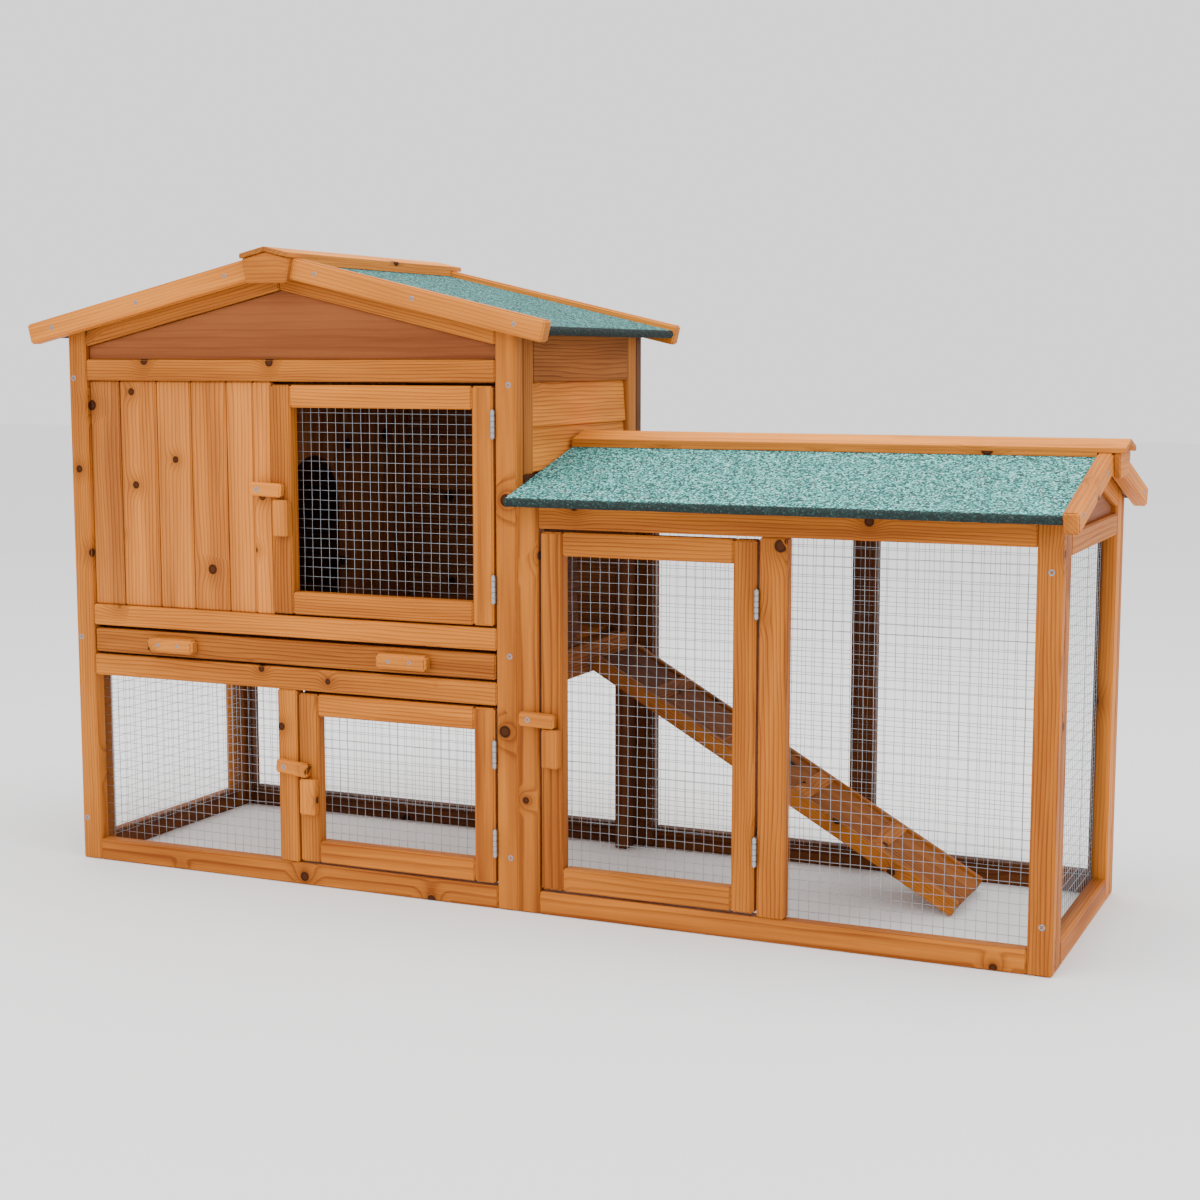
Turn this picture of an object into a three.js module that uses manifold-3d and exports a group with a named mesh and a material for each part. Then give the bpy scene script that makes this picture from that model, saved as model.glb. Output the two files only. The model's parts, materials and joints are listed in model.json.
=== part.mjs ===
// Two-storey rabbit hutch with an attached run, in millimetres, +Z up.
// Layout coordinates: x runs right from the outer face of the left post, y runs back from the front
// face of the front frames, z runs up from the ground. The exported group shifts the layout so that
// its origin is under the middle of the hutch.
import * as THREE from 'three';
import { mergeVertices } from 'three/addons/utils/BufferGeometryUtils.js';
import Module from 'manifold-3d';

const wasm = await Module();
wasm.setup();

// ---- driving dimensions ----
const depth = 410;          // front face of the front frames to the back face of the back frames
const thick = 20;           // thickness of every frame
const stick = 30;           // face width of a post or rail
const board = 8;            // inner wall boards
const wire = 1.8;           // thickness of a wire mesh panel
const clear = 0.3;          // clearance between pieces that touch
const doorGap = 4;          // gap around the doors

const houseEnd = 702;       // right face of the house
const runEnd = 1395;        // right face of the run
const sillTop = stick;
const trayRailLow = [270, 300];
const trayRailHigh = [342, 371];
const upperRail = [687, 716];
const mullion = [336, 366];
const jambRight = 332;
const runStile = [1030, 1065];
const runRail = 503;        // underside of the run's top rail
const endRail = [490, 518];

const mainRoof = { middle: 351, ridge: 848.7, tan: 0.2296, half: 402, felted: 12, proud: 8.2, barge: 28.7 };
const runRoof = { middle: depth / 2, ridge: 609.4, tan: 0.274, half: 246, felted: 12, proud: 5, barge: 27 };
const bargeThick = 20;
const bargeTip = 2;         // how far a barge board reaches past the eave
const bargeStandOff = 3;    // from a frame's face to the back of its barge board
const finialThick = 8.2;
const capHalf = 38;
const capThick = 6.2;
const runRoofEnd = runEnd + 5;
const runCapEnd = 1434;     // free end of the run's ridge cap

const backIn = depth - thick;
const wallBase = trayRailLow[0] + 10;
const centreX = (mainRoof.middle - mainRoof.half - bargeTip + runCapEnd) / 2;

// ---- materials ----
const wood = (r, g, b) => new THREE.MeshStandardMaterial({
  color: new THREE.Color(r, g, b), roughness: 0.6, metalness: 0,
});
const materials = {
  frame: wood(0.78, 0.47, 0.2),
  board: wood(0.8, 0.5, 0.24),
  trim: wood(0.82, 0.54, 0.28),
  ply: wood(0.62, 0.33, 0.13),
  felt: new THREE.MeshStandardMaterial({ color: 0x3f7f72, roughness: 0.95, metalness: 0 }),
  mesh: new THREE.MeshStandardMaterial({ color: 0xb9bdc0, roughness: 0.4, metalness: 0.9 }),
  zinc: new THREE.MeshStandardMaterial({ color: 0xc4c6c8, roughness: 0.35, metalness: 1 }),
};

const hutch = new THREE.Group();
const layout = new THREE.Group();
layout.position.set(-centreX, -depth / 2, 0);
hutch.add(layout);

function add(name, geometry, material, parent = layout) {
  const mesh = new THREE.Mesh(geometry, materials[material]);
  mesh.name = name;
  parent.add(mesh);
  return mesh;
}

// ---- shapes ----
function block(x, y, z) {
  const geometry = new THREE.BoxGeometry(x[1] - x[0], y[1] - y[0], z[1] - z[0]);
  return geometry.translate((x[0] + x[1]) / 2, (y[0] + y[1]) / 2, (z[0] + z[1]) / 2);
}

function outline(points) {
  return new THREE.Shape(points.map(([a, b]) => new THREE.Vector2(a, b)));
}

function rectangle(a, b) {
  return outline([[a[0], b[0]], [a[1], b[0]], [a[1], b[1]], [a[0], b[1]]]);
}

function extrude(shape, length) {
  return new THREE.ExtrudeGeometry(shape, { depth: length, bevelEnabled: false, curveSegments: 16 });
}

// A plate drawn in x and z, filling y[0] to y[1].
function facing(shape, y) {
  return extrude(shape, y[1] - y[0]).rotateX(Math.PI / 2).translate(0, y[1], 0);
}

// A plate drawn in y and z, filling x[0] to x[1].
function sideways(shape, x) {
  const turn = new THREE.Matrix4().makeBasis(
    new THREE.Vector3(0, 1, 0), new THREE.Vector3(0, 0, 1), new THREE.Vector3(1, 0, 0));
  return extrude(shape, x[1] - x[0]).applyMatrix4(turn).translate(x[0], 0, 0);
}

function solid(geometry) {
  const bare = geometry.clone();
  bare.deleteAttribute('normal');
  bare.deleteAttribute('uv');
  const merged = mergeVertices(bare, 1e-4);
  return new wasm.Manifold(new wasm.Mesh({
    numProp: 3,
    vertProperties: new Float32Array(merged.attributes.position.array),
    triVerts: new Uint32Array(merged.index.array),
  }));
}

function geometryOf(manifold) {
  const { vertProperties, triVerts } = manifold.getMesh();
  const geometry = new THREE.BufferGeometry();
  geometry.setAttribute('position', new THREE.BufferAttribute(vertProperties, 3));
  geometry.setIndex(new THREE.BufferAttribute(triVerts, 1));
  return geometry;
}

const join = (pieces) => geometryOf(pieces.map(solid).reduce((a, b) => a.add(b)));
const cut = (body, tools) => geometryOf(tools.map(solid).reduce((a, b) => a.subtract(b), solid(body)));

// A plate with windows cut through it. plate is facing or sideways.
function windowed(plate, shape, windows, span) {
  const through = [span[0] - 1, span[1] + 1];
  return cut(plate(shape, span), windows.map((window) => plate(window, through)));
}

// ---- roof lines: heights at a place across a roof ----
const feltTop = (roof, at) => roof.ridge - Math.abs(at - roof.middle) * roof.tan;
const feltThickness = (roof) => roof.felted * Math.hypot(1, roof.tan);
const underRoof = (roof, at) => feltTop(roof, at) - feltThickness(roof) - 0.5;
const bargeTop = (roof, at) => feltTop(roof, at) + roof.proud;
const capUnder = (roof, at) => bargeTop(roof, at) + clear;

// The top of a gable from one side to the other, under a roof, lowered by some height.
function gableLine(roof, from, to, lower = 0) {
  return [from, roof.middle, to].map((at) => [at, underRoof(roof, at) - lower]);
}

// A frame outline that ends under a roof, with its feet on the ground.
const gabled = (roof, from, to) => outline([[from, 0], [to, 0], ...gableLine(roof, from, to).reverse()]);

const rafter = 27.5;
const gableHole = (roof, from, to, base, lower = rafter, inset = 0) => outline([
  [from + inset, base + inset], [to - inset, base + inset],
  ...gableLine(roof, from + inset, to - inset, lower + inset).reverse(),
]);

// ---- house frames and walls ----
function houseFrames() {
  const inside = [stick, houseEnd - stick];
  const frontWindows = [
    rectangle([stick, mullion[0]], [sillTop, trayRailLow[0]]),
    rectangle([mullion[1], inside[1]], [sillTop, trayRailLow[0]]),
    rectangle(inside, [trayRailLow[1], trayRailHigh[0]]),
    rectangle(inside, [trayRailHigh[1], upperRail[0]]),
    gableHole(mainRoof, ...inside, upperRail[1]),
  ];
  const face = gabled(mainRoof, 0, houseEnd);
  add('house_front_frame', windowed(facing, face, frontWindows, [0, thick]), 'frame');
  const backWindows = [
    rectangle(inside, [sillTop, trayRailLow[0]]),
    rectangle(inside, [trayRailLow[1], upperRail[0]]),
    gableHole(mainRoof, ...inside, upperRail[1]),
  ];
  add('house_back_frame', windowed(facing, face, backWindows, [backIn, depth]), 'frame');

  const sideWindow = [thick + stick, backIn - stick];
  const postTop = underRoof(mainRoof, 0);
  const leftWindows = [
    rectangle(sideWindow, [sillTop, trayRailLow[0]]),
    rectangle(sideWindow, [trayRailLow[1], upperRail[0]]),
  ];
  const side = rectangle([thick, backIn], [0, postTop]);
  add('house_left_frame', windowed(sideways, side, leftWindows, [0, thick]), 'frame');
}

function houseWalls() {
  const slats = [stick, 81, 143, 200, 258, 302, jambRight];
  const groove = 1.6;
  const face = 6;
  const section = [];
  slats.forEach((x, n) => {
    const atEnd = n === 0 || n === slats.length - 1;
    const vee = [[x - groove, face], [x, face + groove * 1.5], [x + groove, face]];
    section.push(...(atEnd ? [[x, face]] : vee));
  });
  section.push([jambRight, thick - 2], [stick, thick - 2]);
  const height = upperRail[0] - trayRailHigh[1];
  const slatted = extrude(outline(section), height).translate(0, 0, trayRailHigh[1]);
  add('house_front_boards', slatted, 'board');

  const panel = gableHole(mainRoof, stick, houseEnd - stick, upperRail[1], rafter, 0.2);
  add('house_front_gable', facing(panel, [thick - 12, thick - 6]), 'ply');

  const inner = [thick + clear, houseEnd - thick - clear];
  const back = outline([
    [inner[0], wallBase], [inner[1], wallBase],
    ...gableLine(mainRoof, ...inner).reverse(),
  ]);
  add('house_back_boards', facing(back, [backIn - board, backIn]), 'board');
  const leftY = [thick + clear, backIn - board - clear];
  const wallTop = underRoof(mainRoof, 0);
  add('house_left_boards', block([thick, thick + board], leftY, [wallBase, wallTop]), 'board');
}

// Lapped boards between two stiles, with a doorway down to the ramp.
const doorway = { y: [200, backIn - stick], z: [325, 515] };
function houseRightWall() {
  const x = [houseEnd - thick, houseEnd];
  const between = [thick + stick, backIn - stick];
  const pitch = 58;
  const floorRail = [283, doorway.z[0]];
  const laps = [];
  for (let top = upperRail[0]; top > doorway.z[0]; top -= pitch) {
    const low = Math.max(top - pitch, doorway.z[0] - 1);
    laps.push(outline([[x[0] + 6, low], [x[1] - 3, low], [x[1] - 7, top + 0.5], [x[0] + 6, top + 0.5]]));
  }
  const lapY = [between[0] - 1, between[1] + 1];
  const pieces = [
    block(x, [thick, between[0]], [0, underRoof(mainRoof, houseEnd)]),
    block(x, [between[1], backIn], [0, underRoof(mainRoof, houseEnd)]),
    block(x, lapY, floorRail),
    block(x, lapY, [upperRail[0], underRoof(mainRoof, houseEnd)]),
    ...laps.map((lap) => facing(lap, lapY)),
  ];
  const opening = block([x[0] - 1, x[1] + 1], doorway.y, doorway.z);
  add('house_right_wall', cut(join(pieces), [opening]), 'board');
}

function partition() {
  const y = [thick + clear, backIn - board - clear];
  const base = trayRailHigh[0];
  const arch = { left: 40, right: 190, top: 583 };
  const radius = (arch.right - arch.left) / 2;
  const x = [jambRight - 10, jambRight - 2];
  const top = underRoof(mainRoof, x[0]) - 2;
  const shape = outline([[y[0], base], [arch.left, base], [arch.left, arch.top - radius]]);
  shape.absarc((arch.left + arch.right) / 2, arch.top - radius, radius, Math.PI, 0, true);
  shape.lineTo(arch.right, base);
  shape.lineTo(y[1], base);
  shape.lineTo(y[1], top);
  shape.lineTo(y[0], top);
  add('partition_with_arch', sideways(shape, x), 'board');
}

// ---- run frames ----
function runFrames() {
  const top = underRoof(runRoof, 0);
  const panel = rectangle([houseEnd, runEnd], [0, top]);
  const windows = [
    rectangle([houseEnd + stick, runStile[0]], [sillTop, runRail]),
    rectangle([runStile[1], runEnd - stick], [sillTop, runRail]),
  ];
  add('run_front_frame', windowed(facing, panel, windows, [0, thick]), 'frame');
  add('run_back_frame', windowed(facing, panel, windows, [backIn, depth]), 'frame');

  const between = [thick + stick, backIn - stick];
  const frame = windowed(sideways, gabled(runRoof, thick, backIn), [
    rectangle(between, [sillTop, endRail[0]]),
    gableHole(runRoof, ...between, endRail[1]),
  ], [runEnd - thick, runEnd]);
  const lip = gableHole(runRoof, between[0] - 2, between[1] + 2, endRail[1] - 2, rafter - 2);
  const gable = sideways(lip, [runEnd - thick + 8, runEnd - 8]);
  add('run_end_frame', join([frame, gable]), 'frame');
}

// ---- wire panels, fixed to the inner faces of their frames ----
function wirePanels() {
  const lap = 6;
  const low = [sillTop - lap, trayRailLow[0] + lap];
  const across = [thick + stick - lap, backIn - stick + lap];
  const frontWire = [thick, thick + wire];
  const backWire = [backIn - wire, backIn];
  const runWindow = [sillTop - lap, runRail + lap];
  const endWindow = [sillTop - lap, endRail[0] + lap];
  const endWire = [runEnd - thick - wire, runEnd - thick];
  add('house_front_mesh', block([stick - lap, mullion[0] + lap], frontWire, low), 'mesh');
  add('house_back_mesh', block([stick - lap, houseEnd - stick + lap], backWire, low), 'mesh');
  add('house_left_mesh', block([thick, thick + wire], across, low), 'mesh');
  add('run_front_mesh', block([runStile[1] - lap, runEnd - stick + lap], frontWire, runWindow), 'mesh');
  add('run_back_mesh', block([houseEnd + stick - lap, runEnd - stick + lap], backWire, runWindow), 'mesh');
  add('run_end_mesh', block(endWire, across, endWindow), 'mesh');
}

// ---- droppings tray ----
const tray = { x: [34, 668], front: [303.5, 337], base: 302.6, rim: 330, wall: 8, floor: 6 };
function trayParts() {
  const { x, base, rim, wall, floor } = tray;
  const y = [thick, backIn - board - 6];
  add('tray_front', block([stick + 2, houseEnd - stick - 2], [0, thick - clear], tray.front), 'frame');
  const hollow = block([x[0] + wall, x[1] - wall], [y[0] + wall, y[1] - wall], [base + floor, rim + 1]);
  add('tray_pan', cut(block(x, y, [base, rim]), [hollow]), 'board');
  for (const [name, left] of [['left', 131], ['right', 499]]) {
    add(`tray_handle_${name}`, block([left, left + 76], [-15, -clear], [310, 330]), 'trim');
  }
  const runnerY = [thick + clear, backIn - board - clear];
  const runner = (x0) => block([x0, x0 + 20], runnerY, [base - 14, base - 0.4]);
  add('tray_runner_left', runner(thick + board + clear), 'frame');
  add('tray_runner_right', runner(houseEnd - thick - 20), 'frame');
}

// ---- doors, hinges and turn buttons ----
const doors = {
  upper: { x: [334, 668], z: [374, 682.5], hingeZ: [403, 615], block: { x: [341, 364], z: [480, 529] } },
  lower: { x: [369.5, 668], z: [33, 266], hingeZ: [69, 187], block: { x: [376, 400], z: [101, 150] } },
  run: { x: [735.5, 1026], z: [33.5, 499], hingeZ: [94, 402], block: { x: [741, 764], z: [196, 246] } },
};
const pivots = {
  upper: { x: 317.7, z: 542.5, tilt: -2 },
  lower: { x: 352, z: 164.5, tilt: -6 },
  run: { x: 721.8, z: 257.5, tilt: -2 },
};
const hinge = { length: 38, radius: 3.1, leaf: 1, stand: 3.5 };

function doorParts(name) {
  const { x, z, block: stop } = doors[name];
  const opening = { x: [x[0] + stick, x[1] - stick], z: [z[0] + stick, z[1] - stick] };
  const frame = windowed(facing, rectangle(x, z), [rectangle(opening.x, opening.z)], [0, thick]);
  add(`${name}_door_frame`, frame, 'frame');
  const lap = 10;
  const wireX = [opening.x[0] - lap, opening.x[1] + lap];
  const wireZ = [opening.z[0] - lap, opening.z[1] + lap];
  add(`${name}_door_mesh`, block(wireX, [thick, thick + wire], wireZ), 'mesh');
  add(`${name}_button_stop`, block(stop.x, [-12, 0], stop.z), 'trim');
}

// Knuckles on the front face of the gap beside a door, with the leaf fixed to the frame.
function hingeParts(name) {
  const { x, hingeZ } = doors[name];
  const axisX = x[1] + doorGap / 2;
  hingeZ.forEach((low, n) => {
    const knuckles = new THREE.CylinderGeometry(hinge.radius, hinge.radius, hinge.length, 16)
      .rotateX(Math.PI / 2)
      .translate(axisX, -hinge.stand, low + hinge.length / 2);
    const leafX = [axisX + 0.8, axisX + 0.8 + hinge.leaf];
    const leaf = block(leafX, [-hinge.stand, 17], [low, low + hinge.length]);
    add(`${name}_hinge_${n ? 'upper' : 'lower'}`, join([knuckles, leaf]), 'zinc');
  });
}

function turnButton(name) {
  const { x, z, tilt } = pivots[name];
  const pivot = new THREE.Group();
  pivot.position.set(x, 0, z);
  pivot.rotation.y = -THREE.MathUtils.degToRad(tilt);
  layout.add(pivot);
  add(`${name}_turn_button`, block([-13, 37], [-12.3, -clear], [-9, 9]), 'trim', pivot);
}

// ---- ramp ----
function ramp() {
  const slope = THREE.MathUtils.degToRad(29.8);
  const foot = { x: 1224.5, y: 202 };
  const width = 142;
  const side = 10;
  const rail = [0, 21];
  const plank = [9, 17];
  const along = [-(foot.x - houseEnd - 12) / Math.cos(slope), 0];
  const group = new THREE.Group();
  group.position.set(foot.x, foot.y, clear);
  group.rotation.y = slope;
  layout.add(group);
  add('ramp_rail_front', block(along, [0, side], rail), 'frame', group);
  add('ramp_rail_back', block(along, [width - side, width], rail), 'frame', group);
  const inner = [side + clear, width - side - clear];
  const proud = [plank[1] - 1, plank[1] + 3.5];
  const cleats = [120, 240, 360, 480].map((at) => block([-at - 24, -at], inner, proud));
  add('ramp_board', join([block(along, inner, plank), ...cleats]), 'board', group);
}

// ---- roofs ----
// One felted roof board: from the ridge out to the eave on one side (-1 or 1) of the middle.
function roofBoard(roof, side) {
  const inner = roof.middle + side * 0.2;
  const outer = roof.middle + side * roof.half;
  const drop = feltThickness(roof);
  const points = [
    [inner, feltTop(roof, inner)], [outer, feltTop(roof, outer)],
    [outer, feltTop(roof, outer) - drop], [inner, feltTop(roof, inner) - drop],
  ];
  return outline(side > 0 ? points.reverse() : points);
}

function bargeBoard(roof, side) {
  const inner = roof.middle + side * 0.2;
  const tip = roof.middle + side * (roof.half + bargeTip);
  const foot = tip - side * roof.barge * roof.tan;
  const points = [
    [inner, bargeTop(roof, inner)], [tip, bargeTop(roof, tip)],
    [foot, bargeTop(roof, foot) - roof.barge], [inner, bargeTop(roof, inner) - roof.barge],
  ];
  return outline(side > 0 ? points.reverse() : points);
}

// Two boards in a shallow V over the whole length, packed down to the felt between the barge boards.
function ridgeCap(roof, plate, full, between) {
  const ends = [roof.middle - capHalf, roof.middle, roof.middle + capHalf];
  const layer = (under, over) => outline([
    ...ends.map((at) => [at, under(roof, at)]),
    ...ends.map((at) => [at, over(roof, at)]).reverse(),
  ]);
  const boards = layer(capUnder, (_, at) => capUnder(roof, at) + capThick);
  const packing = layer((_, at) => feltTop(roof, at) + clear, (_, at) => capUnder(roof, at) + 1);
  return join([plate(boards, full), plate(packing, between)]);
}

function finial(roof, bottomDrop) {
  const { middle } = roof;
  const topAt = (at) => capUnder(roof, at) - clear;
  const half = capHalf - 0.5;
  const foot = topAt(middle) - bottomDrop;
  return outline([
    [middle - 31, foot], [middle + 31, foot],
    [middle + half, topAt(middle + half)], [middle, topAt(middle)], [middle - half, topAt(middle - half)],
  ]);
}

function mainRoofParts() {
  const y = [-bargeStandOff + clear, depth + bargeStandOff - clear];
  const frontBarge = [-bargeStandOff - bargeThick, -bargeStandOff];
  const backBarge = [depth + bargeStandOff, depth + bargeStandOff + bargeThick];
  for (const [name, side] of [['left', -1], ['right', 1]]) {
    add(`main_roof_${name}`, facing(roofBoard(mainRoof, side), y), 'felt');
    add(`main_barge_front_${name}`, facing(bargeBoard(mainRoof, side), frontBarge), 'trim');
    add(`main_barge_back_${name}`, facing(bargeBoard(mainRoof, side), backBarge), 'trim');
  }
  const front = frontBarge[0] - clear;
  const back = backBarge[1] + clear;
  const drop = 41;
  add('main_finial_front', facing(finial(mainRoof, drop), [front - finialThick, front]), 'trim');
  add('main_finial_back', facing(finial(mainRoof, drop), [back, back + finialThick]), 'trim');
  const overhang = 4;
  const capY = [front - finialThick - overhang, back + finialThick + overhang];
  add('main_ridge_cap', ridgeCap(mainRoof, facing, capY, y), 'trim');
}

function runRoofParts() {
  const x = [houseEnd + 1, runRoofEnd - clear];
  const bargeX = [runRoofEnd, runRoofEnd + bargeThick - 1];
  for (const [name, side] of [['front', -1], ['back', 1]]) {
    add(`run_roof_${name}`, sideways(roofBoard(runRoof, side), x), 'felt');
    add(`run_barge_${name}`, sideways(bargeBoard(runRoof, side), bargeX), 'trim');
  }
  const finialX = [bargeX[1] + clear, bargeX[1] + clear + finialThick];
  add('run_finial', sideways(finial(runRoof, 41), finialX), 'trim');
  add('run_ridge_cap', ridgeCap(runRoof, sideways, [x[0], runCapEnd], x), 'trim');
}

houseFrames();
houseWalls();
houseRightWall();
partition();
runFrames();
wirePanels();
trayParts();
for (const name of Object.keys(doors)) {
  doorParts(name);
  hingeParts(name);
  turnButton(name);
}
ramp();
mainRoofParts();
runRoofParts();

export default hutch;
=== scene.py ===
"""Looks for the rabbit hutch: every stick, board, wire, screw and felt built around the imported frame.

Metres, in the frame's own axes: +X along the hutch, +Y to the back, +Z up.
"""
import json
import math
import random

import bmesh
import bpy
from mathutils import Matrix, Vector


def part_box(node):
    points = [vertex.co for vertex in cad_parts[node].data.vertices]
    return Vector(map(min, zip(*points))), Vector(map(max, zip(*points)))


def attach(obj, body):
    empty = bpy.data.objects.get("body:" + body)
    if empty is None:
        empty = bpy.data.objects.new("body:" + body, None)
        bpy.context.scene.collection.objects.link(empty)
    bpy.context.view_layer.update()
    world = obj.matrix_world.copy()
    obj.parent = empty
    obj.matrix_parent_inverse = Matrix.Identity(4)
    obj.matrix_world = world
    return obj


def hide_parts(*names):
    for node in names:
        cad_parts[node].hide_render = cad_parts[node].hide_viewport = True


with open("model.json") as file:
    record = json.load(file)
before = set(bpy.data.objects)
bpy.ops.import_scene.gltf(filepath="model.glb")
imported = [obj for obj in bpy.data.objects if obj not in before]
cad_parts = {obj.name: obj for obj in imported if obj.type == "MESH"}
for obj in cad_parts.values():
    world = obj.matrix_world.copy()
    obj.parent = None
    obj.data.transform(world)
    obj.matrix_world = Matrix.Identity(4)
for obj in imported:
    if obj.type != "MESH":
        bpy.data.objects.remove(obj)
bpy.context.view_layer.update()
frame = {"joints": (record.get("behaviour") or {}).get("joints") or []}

MM = 0.001
EDGE = 1.6 * MM
END_GRAIN = 0.74
X, Y, Z = Vector((1, 0, 0)), Vector((0, 1, 0)), Vector((0, 0, 1))
draw = random.Random(7)


# ---- nodes -------------------------------------------------------------------------------------
class Nodes:
    """Short names for building one material's node tree."""

    def __init__(self, name):
        self.material = bpy.data.materials.new(name)
        self.material.use_nodes = True
        self.tree = self.material.node_tree
        self.shader = self.tree.nodes["Principled BSDF"]

    def link(self, value, socket):
        if isinstance(value, bpy.types.NodeSocket):
            self.tree.links.new(value, socket)
        elif value is not None:
            socket.default_value = value

    def attribute(self, name):
        node = self.tree.nodes.new("ShaderNodeAttribute")
        node.attribute_name = name
        return node

    def math(self, operation, a, b=0.0, clamp=False):
        node = self.tree.nodes.new("ShaderNodeMath")
        node.operation = operation
        node.use_clamp = clamp
        self.link(a, node.inputs[0])
        self.link(b, node.inputs[1])
        return node.outputs[0]

    def vector(self, operation, a, b):
        node = self.tree.nodes.new("ShaderNodeVectorMath")
        node.operation = operation
        self.link(a, node.inputs[0])
        self.link(b, node.inputs[1])
        return node.outputs[0]

    def split(self, value):
        node = self.tree.nodes.new("ShaderNodeSeparateXYZ")
        self.link(value, node.inputs[0])
        return node.outputs

    def join(self, x, y, z):
        node = self.tree.nodes.new("ShaderNodeCombineXYZ")
        for socket, value in zip(node.inputs, (x, y, z)):
            self.link(value, socket)
        return node.outputs[0]

    def noise(self, at, scale=1.0, detail=3.0):
        node = self.tree.nodes.new("ShaderNodeTexNoise")
        self.link(at, node.inputs["Vector"])
        node.inputs["Scale"].default_value = scale
        node.inputs["Detail"].default_value = detail
        node.inputs["Roughness"].default_value = 0.55
        return node.outputs["Fac"]

    def cells(self, at, scale, dimensions="3D"):
        """Voronoi cells: how far each place is from its cell's middle, and a random colour for each cell."""
        node = self.tree.nodes.new("ShaderNodeTexVoronoi")
        node.voronoi_dimensions = dimensions
        self.link(at, node.inputs["Vector"])
        node.inputs["Scale"].default_value = scale
        node.inputs["Randomness"].default_value = 1.0
        return node.outputs["Distance"], node.outputs["Color"]

    def ramp(self, value, *stops):
        """A colour ramp. Each stop is (place, colour or grey)."""
        node = self.tree.nodes.new("ShaderNodeValToRGB")
        self.link(value, node.inputs[0])
        elements = node.color_ramp.elements
        while len(elements) < len(stops):
            elements.new(0.5)
        for element, (place, colour) in zip(elements, stops):
            element.position = place
            element.color = colour_of(colour)
        return node.outputs[0]

    def mix(self, factor, a, b, blend="MIX"):
        node = self.tree.nodes.new("ShaderNodeMix")
        node.data_type = "RGBA"
        node.blend_type = blend
        self.link(factor, node.inputs[0])
        self.link(a if not isinstance(a, (tuple, float)) else colour_of(a), node.inputs[6])
        self.link(b if not isinstance(b, (tuple, float)) else colour_of(b), node.inputs[7])
        return node.outputs[2]

    def bump(self, height, distance, strength=1.0):
        node = self.tree.nodes.new("ShaderNodeBump")
        node.inputs["Strength"].default_value = strength
        node.inputs["Distance"].default_value = distance
        self.link(height, node.inputs["Height"])
        self.link(node.outputs[0], self.shader.inputs["Normal"])


def colour_of(value):
    return (value, value, value, 1.0) if isinstance(value, float) else (*value, 1.0)


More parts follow.
